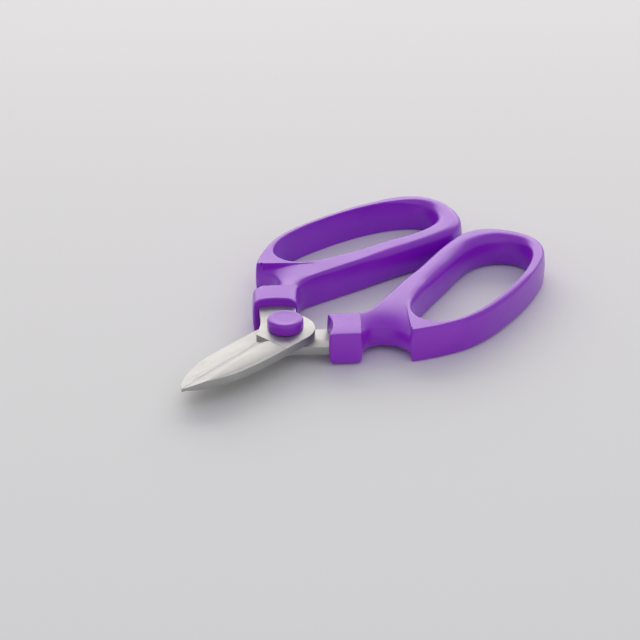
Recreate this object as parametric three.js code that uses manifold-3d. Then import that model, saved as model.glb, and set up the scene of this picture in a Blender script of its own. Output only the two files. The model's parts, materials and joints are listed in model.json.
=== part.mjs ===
// Craft scissors: two steel blades on a keyed pivot bolt, with moulded ring handles.
// Millimetres, +Z up. The scissors lie closed and flat on the plane z = 0, blades towards -Y
// and finger rings towards +Y, centred on the origin in X and Y. The lower half carries the
// +X handle and the upper half the -X handle; the halves are mirror images in plan.
import * as THREE from 'three';
import { mergeVertices } from 'three/addons/utils/BufferGeometryUtils.js';
import Module from 'manifold-3d';

const wasm = await Module();
wasm.setup();

// ---------- Driving dimensions ----------
const OVERALL_LENGTH = 163.4;
const BLADE_REACH = 51.5;
const RING_REACH = OVERALL_LENGTH - BLADE_REACH;
const PIVOT_Y = BLADE_REACH - OVERALL_LENGTH / 2;

const HANDLE_THICKNESS = 13;
const HANDLE_EDGE_RADIUS = 1.6;

// The blades meet a little above the handles' middle.
const BLADE_PLANE_Z = 6.85;
const BLADE_THICKNESS = 3.1;
const BLADE_GAP = 0.1;
const BOSS_RADIUS = 10.5;
const CLEARANCE = 0.3;
const SEAT_GAP = 0.05;

// The shank and its tang leave the pivot at this angle from X.
const SHANK_ANGLE = Math.PI / 4;
const TANG = { outer: -9.3, inner: 4.2, narrows: 20.9, tail: 39, tailInner: 8.3, tailOuter: 3.7 };
const COLLAR = { outer: -11.5, front: 14.3, scoop: 4.1, rear: 26.9 };
// The collar's inner side flares a little towards the rear.
const COLLAR_INNER = { front: 5.1, middle: 5.35, rear: 6.1 };

// The cutting edge runs from the heel to the tip; u is measured towards the edge. The tang's
// outer edge runs straight past the pivot to the heel's top.
const HEEL = { u: 3.9, v: -12.6, topU: 4.4, topV: -10.2 };
const TIP_FLAT = 0.5;
const GRIND = { start: -10.4, shoulderU: -2.2, shoulderDrop: 0.25, spineDrop: 0.1, edge: 0.5 };

const BOLT = { headRadius: 6, headHeight: 2.2, headRound: 1.5, neck: 7, shank: 3, thread: 2.5 };
const SLIP_WASHER = { radius: 5.8, thickness: 0.6 };
const THRUST_WASHER = { radius: 5, thickness: 0.8 };
const NUT = { acrossFlats: 8, height: 2 };
const KNOB = { radius: 6.45, height: 4, rim: 1.3, dish: 0.2, roof: 0.8 };

const ROUND_STEPS = 40;
const EDGE_STEPS = 2;
const WELD = 1e-5;

const LOWER_FLAT_Z = BLADE_PLANE_Z - BLADE_GAP / 2;
const UPPER_FLAT_Z = BLADE_PLANE_Z + BLADE_GAP / 2;
const LOWER_BLADE_BOTTOM = LOWER_FLAT_Z - BLADE_THICKNESS;
const UPPER_BLADE_TOP = UPPER_FLAT_Z + BLADE_THICKNESS;
const SLIP_SEAT_Z = UPPER_FLAT_Z - SEAT_GAP - SLIP_WASHER.thickness;
const THRUST_Z = UPPER_BLADE_TOP + SEAT_GAP;
const NUT_Z = THRUST_Z + THRUST_WASHER.thickness + SEAT_GAP;
const NUT_TOP = NUT_Z + NUT.height;

// ---------- Finishes ----------
const PURPLE_PLASTIC = { color: 0x7a35b4, roughness: 0.32, metalness: 0 };
const POLISHED_STEEL = { color: 0xd6d6d4, roughness: 0.22, metalness: 1 };
const PLATED_STEEL = { color: 0xb9babb, roughness: 0.35, metalness: 1 };
const NYLON = { color: 0xe9e7df, roughness: 0.6, metalness: 0 };

// ---------- Plan outlines ----------
// Plan points are [u, v] from the pivot: u away from the centre line towards the half's own
// handle, v towards the finger rings.

// A point on the shank: along its slanted axis, and across it, positive to the centre line.
function onShank(along, across) {
  const c = Math.cos(SHANK_ANGLE);
  const s = Math.sin(SHANK_ANGLE);
  return [along * c - across * s, along * s + across * c];
}

function smoothRun(points, steps, closed = false) {
  const knots = points.map(([u, v]) => new THREE.Vector3(u, v, 0));
  const curve = new THREE.CatmullRomCurve3(knots, closed, 'centripetal');
  const run = curve.getSpacedPoints(steps).map((p) => [p.x, p.y]);
  return closed ? run.slice(0, -1) : run;
}

function arcRun(radius, from, to, steps) {
  const run = [];
  for (let i = 0; i <= steps; i += 1) {
    const angle = from + ((to - from) * i) / steps;
    run.push([radius * Math.cos(angle), radius * Math.sin(angle)]);
  }
  return run;
}

// side +1 puts the half's handle on +X, side -1 mirrors it onto -X.
function toShape(points, side) {
  return new THREE.Shape(points.map(([u, v]) => new THREE.Vector2(side * u, v)));
}

function bladeOutline() {
  const spine = smoothRun([
    [0, -BLADE_REACH],
    [-2.9, -49.1],
    [-6.6, -42.6],
    [-9.1, -35.0],
    [-10.2, -26.5],
    [-BOSS_RADIUS, -15.0],
    [-BOSS_RADIUS, 0],
  ], 22);
  const innerMeet = SHANK_ANGLE + Math.asin(TANG.inner / BOSS_RADIUS);
  return [
    ...spine.slice(0, -1),
    ...arcRun(BOSS_RADIUS, Math.PI, innerMeet, 10),
    onShank(COLLAR.rear, TANG.inner),
    onShank(TANG.tail, TANG.tailInner),
    onShank(TANG.tail, TANG.tailOuter),
    onShank((TANG.narrows + COLLAR.rear) / 2, 0),
    onShank(TANG.narrows, TANG.outer),
    onShank(0, TANG.outer),
    [HEEL.topU, HEEL.topV],
    [HEEL.u, HEEL.v],
    [TIP_FLAT, TIP_FLAT * 4 - BLADE_REACH],
  ];
}

function handleOutline() {
  const front = new THREE.QuadraticBezierCurve(
    new THREE.Vector2(...onShank(COLLAR.front, COLLAR.outer)),
    new THREE.Vector2(...onShank(COLLAR.front + COLLAR.scoop, (COLLAR.outer + COLLAR_INNER.front) / 2)),
    new THREE.Vector2(...onShank(COLLAR.front, COLLAR_INNER.front)),
  ).getPoints(8).map((p) => [p.x, p.y]);
  const innerBarAndRing = smoothRun([
    onShank(COLLAR.front, COLLAR_INNER.front),
    onShank((COLLAR.front + COLLAR.rear) / 2, COLLAR_INNER.middle),
    onShank(COLLAR.rear, COLLAR_INNER.rear),
    [15.6, 26.1],
    [15.2, 31],
    [13.2, 39],
    [10.4, 51],
    [6.8, 66],
    [3.6, 79],
    [1.7, 89],
    [1.3, 95.5],
    [2.9, 101.2],
    [6.2, 105.6],
    [11, 109],
    [17, 111.2],
    [23.4, RING_REACH],
    [29.6, 109.7],
    [35.4, 104.2],
    [40.4, 94.8],
    [44.5, 82.8],
    [47.3, 70.4],
    [48.7, 59],
    [48.7, 49.2],
    [46.8, 40.8],
    [43.3, 32.8],
    onShank(44, -10.3),
  ], 76);
  const fingerRest = smoothRun([
    onShank(44, -10.3),
    onShank(42, -6.8),
    onShank(38.8, -3.5),
    onShank(34.5, -1.8),
    onShank(30.8, -2.5),
    onShank(28.4, -4.8),
    onShank(27.2, -8),
    onShank(COLLAR.rear, COLLAR.outer),
  ], 16);
  return [...front.slice(0, -1), ...innerBarAndRing, ...fingerRest.slice(1)];
}

function ringHole() {
  return smoothRun([
    [34.6, 34.4],
    [38.6, 35.4],
    [42.2, 39],
    [44.5, 45],
    [45.2, 53],
    [44.8, 62],
    [43, 74],
    [39.9, 85.4],
    [35.5, 95.3],
    [30, 102],
    [24.3, 104.8],
    [18.3, 103.2],
    [13.4, 98.6],
    [11.4, 92],
    [12, 85],
    [14.5, 74],
    [17.8, 60],
    [21.4, 48],
    [25.4, 39.6],
    [30, 35.4],
  ], 60, true);
}

// ---------- Solids ----------
function toSolid(geometry) {
  const bare = geometry.clone();
  bare.deleteAttribute('normal');
  bare.deleteAttribute('uv');
  const welded = mergeVertices(bare, WELD);
  const index = welded.getIndex().array;
  const triangles = [];
  for (let i = 0; i < index.length; i += 3) {
    const [a, b, c] = [index[i], index[i + 1], index[i + 2]];
    if (a !== b && b !== c && c !== a) triangles.push(a, b, c);
  }
  return new wasm.Manifold(new wasm.Mesh({
    numProp: 3,
    vertProperties: Float32Array.from(welded.getAttribute('position').array),
    triVerts: Uint32Array.from(triangles),
  }));
}

// A flat plate from z = bottom, its outline grown sideways by grow.
function plate(shape, bottom, thickness, grow = 0) {
  const geometry = new THREE.ExtrudeGeometry(shape, {
    depth: thickness,
    bevelEnabled: grow > 0,
    bevelSegments: 0,
    bevelThickness: 0,
    bevelSize: grow,
  });
  geometry.translate(0, 0, bottom);
  return toSolid(geometry);
}

// A closed loop of points moved sideways by inset, to the left of its direction of travel.
function insetLoop(points, inset) {
  return points.map((point, i) => {
    const before = points[(i + points.length - 1) % points.length];
    const after = points[(i + 1) % points.length];
    const arriving = point.clone().sub(before).normalize();
    const leaving = after.clone().sub(point).normalize();
    const sum = new THREE.Vector2(-arriving.y - leaving.y, arriving.x + leaving.x);
    return point.clone().addScaledVector(sum, inset / (1 + arriving.dot(leaving)));
  });
}

// A plate with a hole, standing on z = 0, whose top and bottom edges are rounded inside its
// outline by radius in steps.
function roundedPlate(outline, hole, side, thickness, radius, steps) {
  const outer = toShape(outline, side).getPoints();
  const inner = toShape(hole, side).getPoints();
  if (THREE.ShapeUtils.isClockWise(outer)) outer.reverse();
  if (!THREE.ShapeUtils.isClockWise(inner)) inner.reverse();
  const layers = [];
  for (let i = 0; i <= steps; i += 1) {
    const turn = (i / steps) * (Math.PI / 2);
    layers.push({ inset: radius * (1 - Math.sin(turn)), z: radius * (1 - Math.cos(turn)) });
  }
  const upperLayers = layers.map(({ inset, z }) => ({ inset, z: thickness - z })).reverse();
  const rings = [...layers, ...upperLayers].map(({ inset, z }) => (
    [insetLoop(outer, inset), insetLoop(inner, inset)].map((loop) => ({ loop, z }))
  ));
  const positions = [];
  const addTriangle = (...corners) => corners.forEach(([p, z]) => positions.push(p.x, p.y, z));
  for (let k = 0; k + 1 < rings.length; k += 1) {
    rings[k].forEach(({ loop, z }, part) => {
      const above = rings[k + 1][part];
      loop.forEach((p, i) => {
        const j = (i + 1) % loop.length;
        addTriangle([p, z], [loop[j], z], [above.loop[j], above.z]);
        addTriangle([p, z], [above.loop[j], above.z], [above.loop[i], above.z]);
      });
    });
  }
  [rings[0], rings.at(-1)].forEach(([rim, holeRim], cap) => {
    const corners = [...rim.loop, ...holeRim.loop];
    THREE.ShapeUtils.triangulateShape(rim.loop, [holeRim.loop]).forEach((triangle) => {
      const ordered = cap === 0 ? [...triangle].reverse() : triangle;
      addTriangle(...ordered.map((n) => [corners[n], rim.z]));
    });
  });
  const geometry = new THREE.BufferGeometry();
  geometry.setAttribute('position', new THREE.Float32BufferAttribute(positions, 3));
  return toSolid(geometry);
}

// A turned piece: profile points are [radius, z], starting and ending on the axis.
function turned(profile) {
  const points = profile.map(([r, z]) => new THREE.Vector2(r, z));
  const geometry = new THREE.LatheGeometry(points, ROUND_STEPS);
  geometry.rotateX(Math.PI / 2);
  return toSolid(geometry);
}

function disc(radius, bottom, top) {
  return turned([[0, bottom], [radius, bottom], [radius, top], [0, top]]);
}

function prism(sides, acrossFlats, bottom, top) {
  const cornerRadius = acrossFlats / 2 / Math.cos(Math.PI / sides);
  const turn = Math.PI / sides;
  const corners = arcRun(cornerRadius, turn, turn + 2 * Math.PI, sides).slice(0, -1);
  return plate(toShape(corners, 1), bottom, top - bottom);
}

// What grinding takes off a blade's outer face, square across the blade at the heel step and
// then to past the tip. outward is +1 where the outer face looks up and -1 where it looks down;
// flatZ is the inner face.
function grindings(side, outward, flatZ) {
  const over = 3;
  const slope = (BLADE_THICKNESS - GRIND.shoulderDrop - GRIND.edge) / (HEEL.u - GRIND.shoulderU);
  const section = [
    [HEEL.u + over, GRIND.edge - slope * over],
    [GRIND.shoulderU, BLADE_THICKNESS - GRIND.shoulderDrop],
    [-BOSS_RADIUS - over, BLADE_THICKNESS - GRIND.spineDrop],
    [-BOSS_RADIUS - over, BLADE_THICKNESS + over],
    [HEEL.u + over, BLADE_THICKNESS + over],
  ];
  const shape = new THREE.Shape(section.map(([u, h]) => new THREE.Vector2(side * u, outward * h)));
  const wedge = new THREE.ExtrudeGeometry(shape, { depth: BLADE_REACH, bevelEnabled: false });
  wedge.rotateX(Math.PI / 2);
  const edgeLean = Math.atan2(HEEL.u - TIP_FLAT, BLADE_REACH + HEEL.v);
  wedge.translate(-side * HEEL.u, over, 0);
  wedge.rotateZ(-side * edgeLean);
  wedge.translate(side * HEEL.u, HEEL.v, flatZ);
  const aheadOfStep = new THREE.BoxGeometry(BOSS_RADIUS * 4, BLADE_REACH, BLADE_THICKNESS * 6);
  aheadOfStep.translate(0, GRIND.start - BLADE_REACH / 2, flatZ);
  return toSolid(wedge).intersect(toSolid(aheadOfStep));
}

function blade(side, outward, flatZ) {
  const bottom = outward > 0 ? flatZ : flatZ - BLADE_THICKNESS;
  const blank = plate(toShape(bladeOutline(), side), bottom, BLADE_THICKNESS);
  return blank.subtract(grindings(side, outward, flatZ));
}

function handle(side, outward, flatZ) {
  const bottom = outward > 0 ? flatZ : flatZ - BLADE_THICKNESS;
  const tangPocket = plate(
    toShape(bladeOutline(), side),
    bottom - CLEARANCE,
    BLADE_THICKNESS + 2 * CLEARANCE,
    CLEARANCE,
  );
  const body = roundedPlate(
    handleOutline(),
    ringHole(),
    side,
    HANDLE_THICKNESS,
    HANDLE_EDGE_RADIUS,
    EDGE_STEPS,
  );
  return body.subtract(tangPocket);
}

const root = new THREE.Group();

// Pieces are drawn around the pivot and placed at the pivot's place on the scissors.
function addPiece(name, solid, finish) {
  const { vertProperties, triVerts } = solid.getMesh();
  const position = new THREE.BufferAttribute(Float32Array.from(vertProperties), 3);
  const geometry = new THREE.BufferGeometry();
  geometry.setAttribute('position', position);
  geometry.setIndex(new THREE.BufferAttribute(Uint32Array.from(triVerts), 1));
  geometry.computeVertexNormals();
  const mesh = new THREE.Mesh(geometry, new THREE.MeshStandardMaterial(finish));
  mesh.name = name;
  mesh.position.y = PIVOT_Y;
  root.add(mesh);
}

// The bolt's square neck keys it to the lower blade, so knob, nut and bolt stay with it.
const neckHole = prism(4, BOLT.neck + 2 * CLEARANCE, 0, LOWER_FLAT_Z + 1);
const slipSeat = disc(SLIP_WASHER.radius + CLEARANCE, SLIP_SEAT_Z - SEAT_GAP, BLADE_PLANE_Z + 1);
const shankHole = disc(BOLT.shank + CLEARANCE, 0, HANDLE_THICKNESS * 2);

function pivotBolt() {
  const headTop = LOWER_BLADE_BOTTOM - SEAT_GAP;
  const headBottom = headTop - BOLT.headHeight;
  const crown = arcRun(BOLT.headRound, -Math.PI / 2, 0, 4).map(([r, z]) => (
    [BOLT.headRadius - BOLT.headRound + r, headBottom + BOLT.headRound + z]
  ));
  const head = turned([[0, headBottom], ...crown, [BOLT.headRadius, headTop], [0, headTop]]);
  const neck = prism(4, BOLT.neck, headTop - 1, SLIP_SEAT_Z - CLEARANCE);
  const shank = disc(BOLT.shank, headTop - 1, THRUST_Z + THRUST_WASHER.thickness / 2);
  const thread = disc(BOLT.thread, headTop - 1, NUT_TOP);
  return head.add(neck).add(shank).add(thread);
}

function pivotKnob() {
  const bottom = UPPER_BLADE_TOP + 2 * SEAT_GAP;
  const top = bottom + KNOB.height;
  const shoulder = KNOB.radius - KNOB.rim;
  const rim = arcRun(KNOB.rim, 0, Math.PI / 2, 5).map(([r, z]) => [shoulder + r, top - KNOB.rim + z]);
  const body = turned([
    [0, bottom],
    [KNOB.radius - CLEARANCE, bottom],
    [KNOB.radius, bottom + CLEARANCE],
    ...rim,
    [shoulder / 2, top - KNOB.dish * 0.75],
    [0, top - KNOB.dish],
  ]);
  const washerRoom = disc(THRUST_WASHER.radius + CLEARANCE, 0, NUT_Z - SEAT_GAP / 2);
  const nutRoom = prism(6, NUT.acrossFlats + 2 * CLEARANCE, 0, top - KNOB.dish - KNOB.roof);
  return body.subtract(washerRoom).subtract(nutRoom);
}

addPiece('lower_blade', blade(1, -1, LOWER_FLAT_Z).subtract(neckHole).subtract(slipSeat), POLISHED_STEEL);
addPiece('lower_handle', handle(1, -1, LOWER_FLAT_Z), PURPLE_PLASTIC);
addPiece('upper_blade', blade(-1, 1, UPPER_FLAT_Z).subtract(shankHole), POLISHED_STEEL);
addPiece('upper_handle', handle(-1, 1, UPPER_FLAT_Z), PURPLE_PLASTIC);
addPiece('pivot_bolt', pivotBolt(), PLATED_STEEL);
addPiece(
  'slip_washer',
  disc(SLIP_WASHER.radius, SLIP_SEAT_Z, SLIP_SEAT_Z + SLIP_WASHER.thickness).subtract(shankHole),
  NYLON,
);
addPiece(
  'thrust_washer',
  disc(THRUST_WASHER.radius, THRUST_Z, THRUST_Z + THRUST_WASHER.thickness).subtract(shankHole),
  PLATED_STEEL,
);
addPiece(
  'pivot_nut',
  prism(6, NUT.acrossFlats, NUT_Z, NUT_TOP).subtract(disc(BOLT.thread + SEAT_GAP, 0, NUT_TOP + 1)),
  PLATED_STEEL,
);
addPiece('pivot_knob', pivotKnob(), PURPLE_PLASTIC);

export default root;
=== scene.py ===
"""Craft scissors: fine meshes, finishes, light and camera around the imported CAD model.

Plan points are (u, v) in metres from the pivot: u away from the centre line towards a half's
own handle, v towards the finger rings. Shank places are (along, across) the slanted shank.
"""

import json
import math

import bmesh
import bpy
import numpy as np
from mathutils import Matrix, Vector
from mathutils.geometry import delaunay_2d_cdt


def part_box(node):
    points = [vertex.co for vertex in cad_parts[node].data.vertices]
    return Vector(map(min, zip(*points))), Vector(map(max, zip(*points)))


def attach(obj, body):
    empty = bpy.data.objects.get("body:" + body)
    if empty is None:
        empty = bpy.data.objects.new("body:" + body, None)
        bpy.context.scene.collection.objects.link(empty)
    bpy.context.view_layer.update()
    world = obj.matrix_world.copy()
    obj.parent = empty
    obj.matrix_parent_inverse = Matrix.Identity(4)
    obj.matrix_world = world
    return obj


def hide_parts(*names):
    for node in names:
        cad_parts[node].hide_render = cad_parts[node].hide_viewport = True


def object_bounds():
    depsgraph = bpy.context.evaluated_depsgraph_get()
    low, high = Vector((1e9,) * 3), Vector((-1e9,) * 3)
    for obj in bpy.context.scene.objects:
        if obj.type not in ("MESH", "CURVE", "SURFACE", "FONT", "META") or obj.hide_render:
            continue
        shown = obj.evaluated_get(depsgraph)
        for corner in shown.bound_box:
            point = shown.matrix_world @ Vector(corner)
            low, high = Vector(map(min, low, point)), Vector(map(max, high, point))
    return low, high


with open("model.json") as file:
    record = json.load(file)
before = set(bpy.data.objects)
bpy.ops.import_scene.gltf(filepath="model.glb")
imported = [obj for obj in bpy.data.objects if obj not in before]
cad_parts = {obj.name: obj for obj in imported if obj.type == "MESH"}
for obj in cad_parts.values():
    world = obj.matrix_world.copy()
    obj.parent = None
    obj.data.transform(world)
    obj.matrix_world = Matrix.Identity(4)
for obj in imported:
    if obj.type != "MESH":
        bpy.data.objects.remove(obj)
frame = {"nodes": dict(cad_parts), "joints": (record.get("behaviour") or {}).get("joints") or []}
CAD_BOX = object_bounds()

MM = 0.001
WELD = 1e-5
PIVOT = Vector(frame["joints"][0]["pos_m"])
# Coplanar CAD triangles meet at less than this angle, in radians.
COPLANAR = 0.02

# ---------- Handles ----------
SHANK_ANGLE = math.radians(45)
COLLAR_REAR = 26.75 * MM
COLLAR_LENGTH = 14 * MM
COLLAR_ACROSS = (-12 * MM, 6 * MM)
INNER_SIDE_ACROSS = 4.5 * MM
SHANK_ACROSS = (-12 * MM, 14 * MM)
# The ring's front rim, as shank places of its two ends, and how far the top dips before it.
CREASE = {"outer": (44.2 * MM, -10.0 * MM), "inner": (43.3 * MM, 13.4 * MM)}
CREASE_DROP = 0.7 * MM
# The forefinger rest's scoop: a round fall, up to this share of its full steepness.
REST_DEPTH = 3.6 * MM
REST_WIDTH = 14 * MM
REST_STEEPEST = 0.97
STEP_WIDTH = 0.25 * MM
# The walls stand out by this much at mid-height.
WALL_BULGE = 0.32 * MM
TANG_FIT = 0.04 * MM
# How outlines are redrawn and how finely the surfaces are divided.
POINT_SPACING = 0.5 * MM
CURVE_SAMPLES = 24
SHARP_CORNER = math.radians(38)
CORNER_EASE = 1.4 * MM
HOLE_EASE = 1.5 * MM
GRID_SPACING = 0.7 * MM
COLLAR_SPACING = 0.35 * MM
CRISP_MARGIN = 0.35 * MM
EDGE_MARGIN = 0.7
LINE_MARGIN = 0.6
FILLET_STEPS = 7
WALL_STEPS = 6
# A rounding follows the tightest bend within this many points, up to a share of its radius.
CORNER_REACH = 5
BEND_SHARE = 0.85
# Some of every bar's top stays flat between the roundings of its two edges.
FLAT_LEFT = 0.15 * MM
# The collar's top falls away to its sides, by (depth, width), on the face above the blade's
# ground side ("ground") and on the face above its flat side ("flat").
COLLAR_SIDES = {
    "ground": {"outer": (3.2 * MM, 3.8 * MM), "inner": (3.2 * MM, 3.8 * MM)},
    "flat": {"outer": (0.5 * MM, 6.0 * MM), "inner": (1.8 * MM, 2.0 * MM)},
}
SIDE_STEEPEST = 0.93
INNER_SIDE_FADES = (26 * MM, 34 * MM)
# Radius of the rounded top and bottom edges near these plan places, in millimetres.
OUTLINE_RADII = dict.fromkeys(("ground", "flat"), (
    ((18, 2), 0.6), ((7, 13), 0.6), ((14, 9), 0.55), ((22, 6), 0.8), ((11, 18), 0.7),
    ((15, 26), 1.2), ((12, 42), 1.7), ((5, 72), 2.8), ((1.5, 95), 3.2), ((11, 109), 3.0),
    ((24, 112), 2.8), ((36, 103), 2.7), ((46, 75), 2.4), ((48.7, 52), 1.8), ((46, 39), 1.3),
    ((43, 32), 0.9), ((38, 24), 0.9), ((26, 23), 0.9), ((26, 11), 0.8),
))
HOLE_RADII = {
    "ground": (
        ((30, 35), 1.3), ((38, 35), 1.0), ((45, 50), 0.8), ((43, 74), 0.8), ((38, 90), 1.4),
        ((31, 101), 3.2), ((24, 105), 3.4), ((16, 102), 3.2), ((12, 88), 2.6), ((17, 63), 1.6),
    ),
    "flat": (
        ((30, 35), 1.3), ((38, 35), 1.0), ((45, 50), 0.8), ((43, 74), 0.8), ((35, 96), 2.2),
        ((24, 105), 2.9), ((13, 98), 4.0), ((12, 85), 4.6), ((17, 63), 4.0), ((21, 48), 3.0),
    ),
}

# ---------- Blades ----------
BLADE_REACH = 51.5 * MM
HEEL = (3.9 * MM, -12.6 * MM)
TIP_FLAT = 0.5 * MM
GRIND_START = -10.4 * MM
SHOULDER = (-2.2 * MM, 0.1 * MM)
SPINE_DROP = 0.02 * MM
EDGE_LAND = 0.4 * MM
BLADE_BEVEL = 0.06 * MM
BLADE_SPACING = 0.4 * MM
BLADE_EASE = 0.12 * MM
BLADE_CORNER = math.radians(22)
BLADE_HOLE = 3.15 * MM
# Cutting tools reach past what they cut by these.
OVER = 3 * MM
WELL_PAST_SPINE = 20 * MM

# ---------- Pivot ----------
LATHE_STEPS = 96
KNOB_RIM = 1.3 * MM
KNOB_DISH = 0.12 * MM
KNOB_FOOT = 0.3 * MM
DISH_STEPS = 12
SEAT_GAP = 0.05 * MM
BOLT_ROUND = 1.5 * MM
BOLT_SHANK = 3.0 * MM
BOLT_THREAD = 2.5 * MM
BOLT_THREAD_LENGTH = 2.45 * MM
BOLT_NECK = 7.0 * MM
BOLT_NECK_ROOT = 1.75 * MM
NECK_CLEARANCE = 0.3 * MM

# ---------- Camera ----------
VIEW = {"azimuth": 42.87, "elevation": 28.99, "roll": 0.51, "distance": 0.8507, "lens": 130.84}
VIEW_TARGET = Vector((-0.0070, -0.0046, 0.0))


# ---------- Plan geometry ----------
def shank_places(plan):
    """(along, across) the shank for plan points; across is positive towards the centre line."""
    c, s = math.cos(SHANK_ANGLE), math.sin(SHANK_ANGLE)
    return np.stack([plan[:, 0] * c + plan[:, 1] * s, plan[:, 1] * c - plan[:, 0] * s], 1)


def plan_from_shank(along, across):
    c, s = math.cos(SHANK_ANGLE), math.sin(SHANK_ANGLE)
    return np.stack([along * c - across * s, along * s + across * c], -1)


def level_loops(node, z, side):
    """The closed loops of a CAD node's edges at height z in plan, the longest first."""
    mesh = bmesh.new()
    mesh.from_mesh(frame["nodes"][node].data)
    bmesh.ops.remove_doubles(mesh, verts=mesh.verts, dist=WELD)
    level = [
        e for e in mesh.edges
        if all(abs(v.co.z - z) < WELD for v in e.verts) and e.calc_face_angle(0) > COPLANAR
    ]
    neighbours = {}
    for edge in level:
        a, b = edge.verts
        neighbours.setdefault(a, []).append(b)
        neighbours.setdefault(b, []).append(a)
    loops = []
    unused = dict.fromkeys(neighbours)
    while unused:
        before, here = None, next(iter(unused))
        loop = []
        while here in unused:
            del unused[here]
            loop.append((side * (here.co.x - PIVOT.x), here.co.y - PIVOT.y))
            onward = [v for v in neighbours[here] if v in unused]
            here = onward[0] if onward else None
        loops.append(np.array(loop))
    mesh.free()
    loops.sort(key=lambda p: -np.ptp(p, axis=0).sum())
    return [p if signed_area(p) > 0 else p[::-1] for p in loops]


def signed_area(p):
    q = np.roll(p, -1, axis=0)
    return 0.5 * float(np.sum(p[:, 0] * q[:, 1] - q[:, 0] * p[:, 1]))


def fair(loop, spacing, soften, corner=SHARP_CORNER):
    """A smooth, evenly spaced loop through a coarse one, whose corners are eased by soften."""
    step_in = loop - np.roll(loop, 1, axis=0)
    step_out = np.roll(loop, -1, axis=0) - loop
    h_in = np.linalg.norm(step_in, axis=1, keepdims=True)
    h_out = np.linalg.norm(step_out, axis=1, keepdims=True)
    slope_in, slope_out = step_in / h_in, step_out / h_out
    blended = (slope_out * h_in + slope_in * h_out) / (h_in + h_out)
    sharp = (np.sum(slope_in * slope_out, axis=1) < math.cos(corner))[:, None]
    leaving = np.where(sharp, slope_out, blended)
    arriving = np.roll(np.where(sharp, slope_in, blended), -1, axis=0)
    after = np.roll(loop, -1, axis=0)
    dense = []
    for x in np.linspace(0, 1, CURVE_SAMPLES, endpoint=False):
        dense.append(
            loop * (2 * x**3 - 3 * x**2 + 1) + leaving * h_out * (x**3 - 2 * x**2 + x)
            + after * (3 * x**2 - 2 * x**3) + arriving * h_out * (x**3 - x**2)
        )
    dense = np.stack(dense, axis=1).reshape(-1, 2)
    closed = np.vstack([dense, dense[:1]])
    travelled = np.concatenate([[0], np.cumsum(np.linalg.norm(np.diff(closed, axis=0), axis=1))])
    count = round(travelled[-1] / spacing)
    places = np.linspace(0, travelled[-1], count, endpoint=False)
    even = np.stack([np.interp(places, travelled, closed[:, k]) for k in (0, 1)], 1)
    return eased(even, soften / spacing)


def eased(values, sigma):
    """Values round a closed loop, smoothed by a Gaussian of sigma points."""
    reach = max(1, math.ceil(3 * sigma))
    offsets = range(-reach, reach + 1)
    weights = [math.exp(-0.5 * (k / sigma) ** 2) for k in offsets]
    total = sum(w * np.roll(values, k, axis=0) for w, k in zip(weights, offsets))
    return total / sum(weights)


def normals_left(loop):
    """Unit normals to the left of the loop's travel."""
    tangent = np.roll(loop, -1, axis=0) - np.roll(loop, 1, axis=0)
    tangent /= np.linalg.norm(tangent, axis=1, keepdims=True)
    return np.stack([-tangent[:, 1], tangent[:, 0]], 1)


def turning_radius(loop, normals):
    """Plan radius where the loop bends towards its left normals, and far more elsewhere."""
    bend = np.roll(loop, -1, axis=0) + np.roll(loop, 1, axis=0) - 2 * loop
    chord = np.linalg.norm(np.roll(loop, -1, axis=0) - loop, axis=1)
    curvature = np.sum(bend * normals, axis=1) / chord**2
    return 1 / np.maximum(curvature, 1e-3)


def inside(points, loop):
    """Which points lie inside a closed loop."""
    a, b = loop, np.roll(loop, -1, axis=0)
    x, y = points[:, 0, None], points[:, 1, None]
    crosses = (a[:, 1] > y) != (b[:, 1] > y)
    rise = np.where(b[:, 1] == a[:, 1], 1, b[:, 1] - a[:, 1])
    at = a[:, 0] + (y - a[:, 1]) * (b[:, 0] - a[:, 0]) / rise
    return np.sum(crosses & (x < at), axis=1) % 2 == 1


def distance_to(points, path):
    """Distance from each point to the nearest stretch of a path, which may have gaps."""
    steps = np.diff(path, axis=0)
    joined = np.linalg.norm(steps, axis=1) < 3 * POINT_SPACING
    starts, steps = path[:-1][joined], steps[joined]
    nearest = np.full(len(points), np.inf)
    for first in range(0, len(starts), 200):
        start, step = starts[first:first + 200], steps[first:first + 200]
        offset = points[:, None] - start[None]
        share = np.clip(np.sum(offset * step, axis=2) / np.sum(step**2, axis=1), 0, 1)
        gap = np.linalg.norm(offset - share[..., None] * step, axis=2).min(axis=1)
        nearest = np.minimum(nearest, gap)
    return nearest


def blended_radii(points, anchors):
    """Edge radius at each point, blended from the nearest named places."""
    places = np.array([place for place, _ in anchors], float) * MM
    radii = np.array([radius for _, radius in anchors], float) * MM
    gap = np.linalg.norm(points[:, None] - places[None], axis=2) + MM
    weights = gap**-4
    return (weights * radii).sum(axis=1) / weights.sum(axis=1)


def edge_radii(loop, normals, anchors, room):
    """The rounding radius along a loop, within its bends and the room that the bar leaves."""
    limit = np.minimum(BEND_SHARE * turning_radius(loop, normals) - WALL_BULGE, room)
    tightest = np.min([np.roll(limit, k) for k in range(-CORNER_REACH, CORNER_REACH + 1)], axis=0)
    return eased(np.minimum(blended_radii(loop, anchors), tightest), CORNER_REACH / 2)


def crease_along(across):
    """Where the ring's front rim crosses the shank."""
    (outer_s, outer_t), (inner_s, inner_t) = CREASE["outer"], CREASE["inner"]
    share = (across - outer_t) / (inner_t - outer_t)
    return outer_s + share * (inner_s - outer_s)


# ---------- Mesh building ----------
def new_object(name, mesh):
    piece = bpy.data.objects.new(name, mesh)
    bpy.context.scene.collection.objects.link(piece)
    return piece


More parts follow.
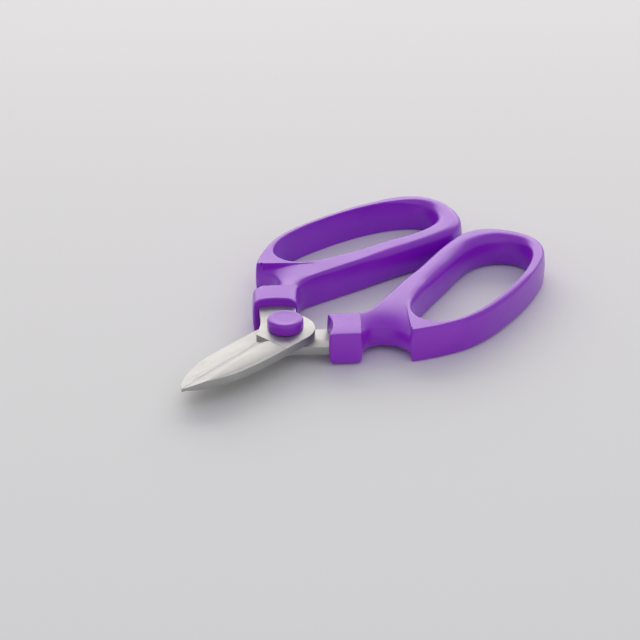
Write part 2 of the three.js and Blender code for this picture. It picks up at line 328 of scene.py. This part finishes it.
def mesh_from(name, points, faces, side=1):
    """A mesh from plan-framed points (u, v, z), mirrored and placed at the pivot."""
    placed = [(PIVOT.x + side * u, PIVOT.y + v, z) for u, v, z in points]
    mesh = bpy.data.meshes.new(name)
    mesh.from_pydata(placed, [], [f if side > 0 else f[::-1] for f in faces])
    mesh.validate()
    return mesh


def prism_object(name, lower_loop, upper_loop, bottom, top, side):
    """A closed prism between two loops of the same length."""
    n = len(lower_loop)
    points = [(u, v, bottom) for u, v in lower_loop] + [(u, v, top) for u, v in upper_loop]
    faces = [(i, (i + 1) % n, n + (i + 1) % n, n + i) for i in range(n)]
    faces += [tuple(range(n))[::-1], tuple(range(n, 2 * n))]
    return new_object(name, mesh_from(name, points, faces, side))


def combine(piece, tool, operation):
    """Applies a boolean with tool to piece and removes tool."""
    cut = piece.modifiers.new("cut", "BOOLEAN")
    cut.operation, cut.object, cut.solver = operation, tool, "EXACT"
    settle(piece)
    bpy.data.objects.remove(tool)


def settle(piece):
    """Turns a piece's modifiers into its mesh."""
    graph = bpy.context.evaluated_depsgraph_get()
    mesh = bpy.data.meshes.new_from_object(piece.evaluated_get(graph))
    piece.modifiers.clear()
    piece.data = mesh


def smooth(piece, angle):
    """Smooth shading that keeps edges over angle degrees sharp."""
    piece.data.shade_smooth()
    piece.data.set_sharp_from_angle(angle=math.radians(angle))


def turned(name, profile):
    """A closed turned mesh about the pivot, from (radius, z) points that start and end on the axis."""
    body = profile[1:-1]
    points = [(0, 0, profile[0][1]), (0, 0, profile[-1][1])]
    for radius, z in body:
        for k in range(LATHE_STEPS):
            a = 2 * math.pi * k / LATHE_STEPS
            points.append((radius * math.cos(a), radius * math.sin(a), z))
    faces = []
    last = 2 + (len(body) - 1) * LATHE_STEPS
    for k in range(LATHE_STEPS):
        after = (k + 1) % LATHE_STEPS
        faces.append((0, 2 + after, 2 + k))
        faces.append((1, last + k, last + after))
        for row in range(len(body) - 1):
            base = 2 + row * LATHE_STEPS
            faces.append((base + k, base + after, base + LATHE_STEPS + after, base + LATHE_STEPS + k))
    return new_object(name, mesh_from(name, points, faces))


def arc(centre, radius, start, end, steps):
    """Profile points round a centre, angles in degrees."""
    angles = [math.radians(start + (end - start) * k / steps) for k in range(steps + 1)]
    return [(centre[0] + radius * math.cos(a), centre[1] + radius * math.sin(a)) for a in angles]


# ---------- Handles ----------
def crisp_runs(rim, hole_rim):
    """Rows of points on both sides of the collar's rear edge and the ring's front rim."""
    runs = []
    across = np.arange(*SHANK_ACROSS, POINT_SPACING)
    for line in (np.full_like(across, COLLAR_REAR), crease_along(across)):
        for shift in (-0.5, 0.5):
            run = plan_from_shank(line + shift * STEP_WIDTH, across)
            edges = np.vstack([rim, hole_rim])
            keep = inside(run, rim) & ~inside(run, hole_rim)
            keep &= distance_to(run, edges) > CRISP_MARGIN
            runs.append(run[keep])
    return runs


def collar_grid():
    """A fine grid in line with the shank, from the collar's front to its rear edge."""
    along, across = np.meshgrid(
        np.arange(COLLAR_REAR, COLLAR_REAR - COLLAR_LENGTH, -COLLAR_SPACING),
        np.arange(*COLLAR_ACROSS, COLLAR_SPACING),
    )
    return plan_from_shank(along.ravel(), across.ravel())


def clear(grid, rim, hole_rim, crisp, spacing):
    """The grid's points that lie on the flat and clear of its edges and crisp lines."""
    grid = grid[inside(grid, rim) & ~inside(grid, hole_rim)]
    grid = grid[distance_to(grid, np.vstack([rim, rim[:1]])) > EDGE_MARGIN * spacing]
    grid = grid[distance_to(grid, np.vstack([hole_rim, hole_rim[:1]])) > EDGE_MARGIN * spacing]
    return grid[distance_to(grid, crisp) > LINE_MARGIN * spacing]


def flat_between(rim, hole_rim):
    """Triangles between the two innermost rows, on a grid and along the crisp edges."""
    runs = crisp_runs(rim, hole_rim)
    crisp = np.vstack(runs)
    low, high = rim.min(axis=0), rim.max(axis=0)
    across = np.arange(low[0], high[0], GRID_SPACING)
    along = np.arange(low[1], high[1], GRID_SPACING * math.sqrt(3) / 2)
    grid = np.array([
        (x + (k % 2) * GRID_SPACING / 2, y) for k, y in enumerate(along) for x in across
    ])
    grid = grid[shank_places(grid)[:, 0] > COLLAR_REAR]
    collar = collar_grid()
    grid = clear(grid, rim, hole_rim, crisp, GRID_SPACING)
    collar = clear(collar, rim, hole_rim, crisp, COLLAR_SPACING)
    points = np.vstack([rim, hole_rim, crisp, grid, collar])
    ties = []
    start = 0
    for loop in (rim, hole_rim):
        ties += [(start + i, start + (i + 1) % len(loop)) for i in range(len(loop))]
        start += len(loop)
    for run in runs:
        steps = np.linalg.norm(np.diff(run, axis=0), axis=1)
        near = np.flatnonzero(steps < 1.5 * POINT_SPACING)
        ties += [(start + int(i), start + int(i) + 1) for i in near]
        start += len(run)
    scaled = [Vector(p) for p in points / MM]
    verts, _, triangles, originals, _, _ = delaunay_2d_cdt(scaled, ties, [], 0, 1e-6)
    index = {n: o[0] for n, o in enumerate(originals)}
    triangles = np.array([[index[n] for n in t] for t in triangles])
    centres = points[triangles].mean(axis=1)
    keep = inside(centres, rim) & ~inside(centres, hole_rim)
    return points, [tuple(int(n) for n in t) for t in triangles[keep]]


class Handle:
    """One moulded handle: rounded edges, scooped forefinger rest and a raised ring front."""

    def __init__(self, node, blade_node, side, outward):
        self.node, self.side = node, side
        # The two handles are one moulding, and one of them is turned over.
        self.faces = {1: "ground", -1: "flat"} if outward > 0 else {1: "flat", -1: "ground"}
        low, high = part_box(node)
        self.middle, self.half = (low.z + high.z) / 2, (high.z - low.z) / 2
        widest = high.x if side > 0 else low.x
        verts = frame["nodes"][node].data.vertices
        wall_top = max(v.co.z for v in verts if abs(v.co.x - widest) < WELD)
        outline, hole = level_loops(node, wall_top, side)[:2]
        self.outline = fair(outline, POINT_SPACING, CORNER_EASE)
        self.hole = fair(hole, POINT_SPACING, HOLE_EASE)[::-1]
        places = shank_places(self.outline)
        on_rest = (places[:, 0] > COLLAR_REAR) & (places[:, 0] < CREASE["outer"][0]) & (places[:, 1] < 0)
        self.rest = self.outline[on_rest]
        on_collar = places[:, 0] < COLLAR_REAR + MM
        self.sides = {
            "outer": self.outline[on_collar & (places[:, 1] < places[:, 1].min() + MM)],
            "inner": self.outline[
                (places[:, 0] < INNER_SIDE_FADES[1]) & (places[:, 1] > INNER_SIDE_ACROSS)
            ],
        }
        self.blade_node = blade_node

    def collar_fall(self, plan, face):
        """How far the collar's rounded sides lie below its middle."""
        along = shank_places(plan)[:, 0]
        near_collar = {
            "outer": np.clip((COLLAR_REAR - along) / STEP_WIDTH + 0.5, 0, 1),
            "inner": np.clip(
                (INNER_SIDE_FADES[1] - along) / (INNER_SIDE_FADES[1] - INNER_SIDE_FADES[0]), 0, 1
            ),
        }
        fall = np.zeros(len(plan))
        for name, run in self.sides.items():
            depth, width = COLLAR_SIDES[face][name]
            x = np.clip(1 - distance_to(plan, run) / width, 0, SIDE_STEEPEST)
            fall += depth * (1 - np.sqrt(1 - x**2)) * near_collar[name]
        return fall

    def drop(self, plan, face):
        """How far the surface lies below the handle's flat plane on one of its two faces."""
        places = shank_places(plan)
        along, across = places[:, 0], places[:, 1]
        gap = distance_to(plan, self.rest)
        x = np.clip(1 - gap / REST_WIDTH, 0, REST_STEEPEST)
        scoop = REST_DEPTH * (1 - np.sqrt(1 - x**2))
        line = crease_along(across)
        fade = np.clip((CREASE["inner"][1] - across) / (CREASE["inner"][1] - CREASE["outer"][1]), 0, 1)
        run = np.clip((along - COLLAR_REAR) / (line - COLLAR_REAR), 0, 1)
        dip = CREASE_DROP * fade * run**2 * (3 - 2 * run)
        past_collar = np.clip((along - COLLAR_REAR) / STEP_WIDTH + 0.5, 0, 1)
        before_ring = np.clip((line - along) / STEP_WIDTH + 0.5, 0, 1)
        return (scoop + dip) * past_collar * before_ring + self.collar_fall(plan, face)

    def rows(self, loop, anchors, other, other_anchors):
        """Rows from the top flat, round the wall, to the bottom flat, clear of the other edge's."""
        normals = normals_left(loop)
        width = distance_to(loop, np.vstack([other, other[:1]])) - 2 * WALL_BULGE - FLAT_LEFT
        edges = {1: [], -1: []}
        for sign, rows in edges.items():
            face = self.faces[sign]
            room = width - blended_radii(loop, other_anchors[face])
            radius = edge_radii(loop, normals, anchors[face], room)
            for k in range(FILLET_STEPS + 1):
                turn = math.pi / 2 * (1 - k / FILLET_STEPS)
                plan = loop + normals * (WALL_BULGE + radius * (1 - math.cos(turn)))[:, None]
                rise = self.half - self.drop(plan, face) - radius * (1 - math.sin(turn))
                rows.append((plan, sign * rise))
        top, bottom = edges[1][-1][1], edges[-1][-1][1]
        wall = []
        for k in range(1, WALL_STEPS):
            share = k / WALL_STEPS
            plan = loop + normals * WALL_BULGE * (1 - 2 * share)**2
            wall.append((plan, top + share * (bottom - top)))
        return edges[1] + wall + edges[-1][::-1]

    def build(self):
        skins = [
            self.rows(self.outline, OUTLINE_RADII, self.hole, HOLE_RADII),
            self.rows(self.hole, HOLE_RADII, self.outline, OUTLINE_RADII),
        ]
        points, faces = [], []
        rims = []
        for rows in skins:
            count = len(rows[0][0])
            base = len(points)
            for plan, z in rows:
                points += [(u, v, h) for (u, v), h in zip(plan, z)]
            for r in range(len(rows) - 1):
                for i in range(count):
                    j = (i + 1) % count
                    here, below = base + r * count, base + (r + 1) * count
                    faces.append((here + i, below + i, below + j, here + j))
            rims.append({
                1: (base, rows[0][0]),
                -1: (base + (len(rows) - 1) * count, rows[-1][0]),
            })
        for sign in (1, -1):
            (outer_base, outer_rim), (hole_base, hole_rim) = rims[0][sign], rims[1][sign]
            flat_points, flat_faces = flat_between(outer_rim, hole_rim)
            rim_count = len(outer_rim) + len(hole_rim)
            places = [outer_base + i for i in range(len(outer_rim))]
            places += [hole_base + i for i in range(len(hole_rim))]
            places += [len(points) + i for i in range(len(flat_points) - rim_count)]
            inner = flat_points[rim_count:]
            heights = self.half - self.drop(inner, self.faces[sign])
            points += [(u, v, sign * h) for (u, v), h in zip(inner, heights)]
            for face in flat_faces:
                ordered = face if sign > 0 else face[::-1]
                faces.append(tuple(places[n] for n in ordered))
        points = [(u, v, self.middle + h) for u, v, h in points]
        piece = new_object(self.node + "_moulding", mesh_from(self.node, points, faces, self.side))
        self.cut_tang_pocket(piece)
        smooth(piece, 32)
        return piece

    def cut_tang_pocket(self, piece):
        low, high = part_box(self.blade_node)
        loop = blade_loop(self.blade_node, self.side)
        grown = loop - normals_left(loop) * TANG_FIT
        tool = prism_object("pocket", grown, grown, low.z - TANG_FIT, high.z + TANG_FIT, self.side)
        combine(piece, tool, "DIFFERENCE")


# ---------- Blades ----------
def blade_loop(node, side):
    low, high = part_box(node)
    flat = high.z if side > 0 else low.z
    return fair(level_loops(node, flat, side)[0], BLADE_SPACING, BLADE_EASE, BLADE_CORNER)


def grind_prism(side, outward, flat):
    """What grinding takes off the outer face, ahead of the square step."""
    low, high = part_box("upper_blade")
    thick = high.z - low.z
    slope = (thick - SHOULDER[1] - EDGE_LAND) / (HEEL[0] - SHOULDER[0])
    section = [
        (OVER, EDGE_LAND - slope * OVER),
        (SHOULDER[0] - HEEL[0], thick - SHOULDER[1]),
        (-WELL_PAST_SPINE, thick - SPINE_DROP),
        (-WELL_PAST_SPINE, thick + OVER),
        (OVER, thick + OVER),
    ]
    lean = math.atan2(HEEL[0] - TIP_FLAT, BLADE_REACH + HEEL[1])
    along = np.array((-math.sin(lean), -math.cos(lean)))
    across = np.array((math.cos(lean), -math.sin(lean)))
    points = []
    for v in (GRIND_START, -BLADE_REACH - OVER):
        for offset, height in section:
            start = np.array(HEEL) + across * offset
            reach = (v - start[1]) / along[1]
            u, w = start + along * reach
            points.append((u, w, flat + outward * height))
    n = len(section)
    faces = [(i, (i + 1) % n, n + (i + 1) % n, n + i) for i in range(n)]
    faces += [tuple(range(n))[::-1], tuple(range(n, 2 * n))]
    tool = new_object("grind", mesh_from("grind", points, faces, side))
    set_outward(tool.data)
    return tool


def set_outward(mesh):
    """Turns every face of a closed mesh outwards."""
    work = bmesh.new()
    work.from_mesh(mesh)
    bmesh.ops.recalc_face_normals(work, faces=work.faces)
    work.to_mesh(mesh)
    work.free()


def blade(node, side, outward):
    low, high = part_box(node)
    flat = high.z if outward < 0 else low.z
    loop = blade_loop(node, side)
    piece = prism_object(node + "_ground", loop, loop, low.z, high.z, side)
    combine(piece, grind_prism(side, outward, flat), "DIFFERENCE")
    hole = turned("hole", [
        (0, low.z - OVER), (BLADE_HOLE, low.z - OVER), (BLADE_HOLE, high.z + OVER), (0, high.z + OVER),
    ])
    combine(piece, hole, "DIFFERENCE")
    bevel = piece.modifiers.new("edge break", "BEVEL")
    bevel.width, bevel.segments, bevel.limit_method = BLADE_BEVEL, 2, "ANGLE"
    bevel.angle_limit = math.radians(30)
    bevel.use_clamp_overlap = True
    settle(piece)
    smooth(piece, 25)
    return piece


# ---------- Pivot ----------
def knob():
    low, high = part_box("pivot_knob")
    radius = (high.x - low.x) / 2
    shoulder = radius - KNOB_RIM
    profile = [(0, low.z), (radius - KNOB_FOOT, low.z)]
    profile += arc((radius - KNOB_FOOT, low.z + KNOB_FOOT), KNOB_FOOT, -60, 0, 4)
    profile += arc((shoulder, high.z - KNOB_RIM), KNOB_RIM, 0, 90, 12)
    for k in range(1, DISH_STEPS):
        x = k / DISH_STEPS
        dip = KNOB_DISH * (1 - math.cos(math.pi * min(1, 2.2 * x))) / 2
        profile.append((shoulder * (1 - x), high.z - dip))
    profile.append((0, high.z - KNOB_DISH))
    piece = turned("pivot_knob_cap", profile)
    smooth(piece, 40)
    return piece


def bolt():
    """The pivot bolt: crowned head, square neck, shank and thread."""
    low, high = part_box("pivot_bolt")
    head = (high.x - low.x) / 2
    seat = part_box("lower_blade")[0].z - SEAT_GAP
    profile = [(0, low.z)] + arc((head - BOLT_ROUND, low.z + BOLT_ROUND), BOLT_ROUND, -90, 0, 10)
    profile += [(head, seat), (BOLT_SHANK, seat), (BOLT_SHANK, high.z - BOLT_THREAD_LENGTH)]
    profile += [(BOLT_THREAD, high.z - BOLT_THREAD_LENGTH), (BOLT_THREAD, high.z), (0, high.z)]
    piece = turned("pivot_bolt_crowned", profile)
    half = BOLT_NECK / 2
    square = [(-half, -half), (half, -half), (half, half), (-half, half)]
    neck_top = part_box("slip_washer")[0].z - NECK_CLEARANCE
    combine(piece, prism_object("neck", square, square, seat - BOLT_NECK_ROOT, neck_top, 1), "UNION")
    smooth(piece, 40)
    return piece


# ---------- Materials ----------
class Nodes:
    """A material's node tree with short calls for adding and linking nodes."""

    def __init__(self, name):
        self.material = bpy.data.materials.new(name)
        self.material.use_nodes = True
        self.tree = self.material.node_tree
        self.shader = self.tree.nodes["Principled BSDF"]

    def add(self, kind, inputs=(), **settings):
        node = self.tree.nodes.new(kind)
        for key, value in settings.items():
            setattr(node, key, value)
        for key, value in dict(inputs).items():
            self.put(value, node.inputs[key])
        return node

    def put(self, value, socket):
        if isinstance(value, bpy.types.NodeSocket):
            self.tree.links.new(value, socket)
        else:
            socket.default_value = value

    def noise(self, coordinates, scale, detail):
        inputs = {"Vector": coordinates, "Scale": scale, "Detail": detail}
        return self.add("ShaderNodeTexNoise", inputs).outputs["Fac"]

    def spread(self, value, low, high, start=0.2, end=0.8):
        node = self.add(
            "ShaderNodeMapRange",
            {"Value": value, "From Min": start, "From Max": end, "To Min": low, "To Max": high},
            interpolation_type="SMOOTHSTEP",
        )
        return node.outputs["Result"]

    def mix(self, factor, first, second):
        node = self.add("ShaderNodeMix", data_type="RGBA")
        self.put(factor, node.inputs["Factor"])
        self.put(first, node.inputs["A"])
        self.put(second, node.inputs["B"])
        return node.outputs["Result"]

    def bump(self, height, distance):
        return self.add("ShaderNodeBump", {"Height": height, "Distance": distance}).outputs["Normal"]

    def coordinates(self, scale=(1, 1, 1), turn=0.0):
        source = self.add("ShaderNodeTexCoord").outputs["Object"]
        node = self.add("ShaderNodeMapping", {"Vector": source, "Scale": scale})
        node.inputs["Rotation"].default_value = (0, 0, turn)
        return node.outputs["Vector"]


def plastic(name, seed):
    """Satin-gloss moulded purple plastic: faint flow marks, rubbed patches, haze and fine grain."""
    n = Nodes(name)
    place = n.coordinates()
    shifted = n.add("ShaderNodeMapping", {"Vector": place, "Location": (seed, seed, 0)}).outputs["Vector"]
    flow = n.noise(shifted, 55, 3)
    haze = n.noise(shifted, 90, 1)
    grain = n.noise(shifted, 5200, 2)
    rubbed = n.spread(n.noise(shifted, 38, 1), 0, 0.5, 0.55, 0.75)
    tint = n.mix(n.spread(flow, 0, 1), (0.290, 0.005, 0.610, 1), (0.335, 0.008, 0.670, 1))
    n.put(n.mix(rubbed, tint, (0.355, 0.018, 0.680, 1)), n.shader.inputs["Base Color"])
    n.put(n.spread(haze, 0.30, 0.40), n.shader.inputs["Roughness"])
    n.put(n.bump(grain, 0.000004), n.shader.inputs["Normal"])
    n.shader.inputs["IOR"].default_value = 1.52
    n.shader.inputs["Coat Weight"].default_value = 0.45
    n.shader.inputs["Coat Roughness"].default_value = 0.28
    n.shader.inputs["Coat IOR"].default_value = 1.55
    return n.material


def steel(name, colour, turn, stretch, roughness, depth):
    """Ground and polished steel: fine parallel grinding lines, light scratches and handling smears."""
    n = Nodes(name)
    lines = n.noise(n.coordinates((1, stretch, 1), turn), 9000, 2)
    broad = n.noise(n.coordinates((1, stretch, 1), turn), 1800, 2)
    smear = n.noise(n.coordinates(), 120, 3)
    dark = tuple(c * 0.9 for c in colour[:3]) + (1,)
    n.put(n.mix(n.spread(smear, 0, 1), dark, colour), n.shader.inputs["Base Color"])
    both = n.add("ShaderNodeMath", {0: lines, 1: broad}, operation="ADD").outputs[0]
    n.put(n.spread(both, roughness - 0.05, roughness + 0.07, 0.7, 1.3), n.shader.inputs["Roughness"])
    n.put(n.bump(both, depth), n.shader.inputs["Normal"])
    n.shader.inputs["Metallic"].default_value = 1.0
    return n.material


def nylon():
    n = Nodes("natural_nylon")
    cloud = n.noise(n.coordinates(), 400, 3)
    n.put(n.mix(cloud, (0.80, 0.78, 0.72, 1), (0.88, 0.87, 0.82, 1)), n.shader.inputs["Base Color"])
    n.put(n.spread(cloud, 0.5, 0.65), n.shader.inputs["Roughness"])
    n.put(n.bump(n.noise(n.coordinates(), 3000, 2), 0.00001), n.shader.inputs["Normal"])
    return n.material


def studio_floor():
    n = Nodes("pale_floor")
    cloud = n.noise(n.coordinates(), 3, 2)
    n.put(n.mix(cloud, (0.88, 0.865, 0.84, 1), (0.90, 0.885, 0.86, 1)), n.shader.inputs["Base Color"])
    n.shader.inputs["Roughness"].default_value = 0.7
    return n.material


def dress(piece, body, nodes, slot, *materials):
    """Sets a piece's materials, ties it to its body and hides the CAD nodes it stands for."""
    piece.data.materials.clear()
    for material in materials:
        piece.data.materials.append(material)
    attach(piece, body)
    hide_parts(*nodes)


# ---------- Studio ----------
def direction(azimuth, elevation):
    a, e = math.radians(azimuth), math.radians(elevation)
    return Vector((math.sin(a) * math.cos(e), -math.cos(a) * math.cos(e), math.sin(e)))


def add_camera():
    data = bpy.data.cameras.new("photo_camera")
    data.lens = VIEW["lens"]
    data.sensor_width = 36
    data.clip_start, data.clip_end = 0.01, 20
    camera = bpy.data.objects.new("photo_camera", data)
    bpy.context.scene.collection.objects.link(camera)
    back = direction(VIEW["azimuth"], VIEW["elevation"])
    camera.location = VIEW_TARGET + back * VIEW["distance"]
    aim = (-back).to_track_quat("-Z", "Y").to_matrix()
    roll = Matrix.Rotation(math.radians(-VIEW["roll"]), 3, "Z")
    camera.rotation_euler = (aim @ roll).to_euler()
    bpy.context.scene.camera = camera


def add_softbox(name, azimuth, elevation, distance, size, watts, colour):
    data = bpy.data.lights.new(name, "AREA")
    data.shape = "RECTANGLE"
    data.size, data.size_y = size
    data.energy = watts
    data.color = colour
    light = bpy.data.objects.new(name, data)
    bpy.context.scene.collection.objects.link(light)
    back = direction(azimuth, elevation)
    light.location = back * distance
    light.rotation_euler = (-back).to_track_quat("-Z", "Y").to_euler()
    light.visible_camera = False


def add_floor():
    side = 4.0
    corners = [(-side, -side, 0), (side, -side, 0), (side, side, 0), (-side, side, 0)]
    mesh = bpy.data.meshes.new("studio_floor")
    mesh.from_pydata(corners, [], [(0, 1, 2, 3)])
    mesh.materials.append(studio_floor())
    floor = new_object("studio_floor", mesh)
    floor.location.z = CAD_BOX[0].z - 0.05 * MM


def add_world():
    world = bpy.data.worlds.new("studio")
    bpy.context.scene.world = world
    world.use_nodes = True
    background = world.node_tree.nodes["Background"]
    background.inputs["Color"].default_value = (0.88, 0.91, 1.0, 1)
    background.inputs["Strength"].default_value = 0.5


# ---------- Assembly ----------
STEEL = (0.51, 0.505, 0.49, 1)
purple = plastic("purple_plastic", 0.0)
cap_purple = plastic("cap_plastic", 0.37)
blade_finish = steel("ground_steel", STEEL, math.radians(80), 0.03, 0.48, 0.0000005)
plated = steel("zinc_plate", (0.62, 0.63, 0.65, 1), 0.3, 0.5, 0.34, 0.000006)

halves = (("lower", 1, -1), ("upper", -1, 1))
for half, side, outward in halves:
    body = half + "_half"
    moulding = Handle(half + "_handle", half + "_blade", side, outward).build()
    dress(moulding, body, [half + "_handle"], "handle_plastic", purple)
    dress(blade(half + "_blade", side, outward), body, [half + "_blade"], "blade_steel", blade_finish)

dress(knob(), "lower_half", ["pivot_knob"], "knob_plastic", cap_purple)

dress(bolt(), "lower_half", ["pivot_bolt"], "plated_steel", plated)

for node in ("thrust_washer", "pivot_nut"):
    frame["nodes"][node].data.materials.clear()
    frame["nodes"][node].data.materials.append(plated)
frame["nodes"]["slip_washer"].data.materials.clear()
frame["nodes"]["slip_washer"].data.materials.append(nylon())

bpy.context.scene.view_settings.view_transform = "Standard"
add_floor()
add_world()
add_camera()
rear = VIEW["azimuth"] + 180
add_softbox("rear_softbox", rear, 27, 1.6, (2.8, 1.1), 19, (1, 0.95, 0.90))
add_softbox("front_softbox", VIEW["azimuth"] + 20, 50, 1.6, (2.4, 1.8), 3.0, (1, 0.98, 0.95))
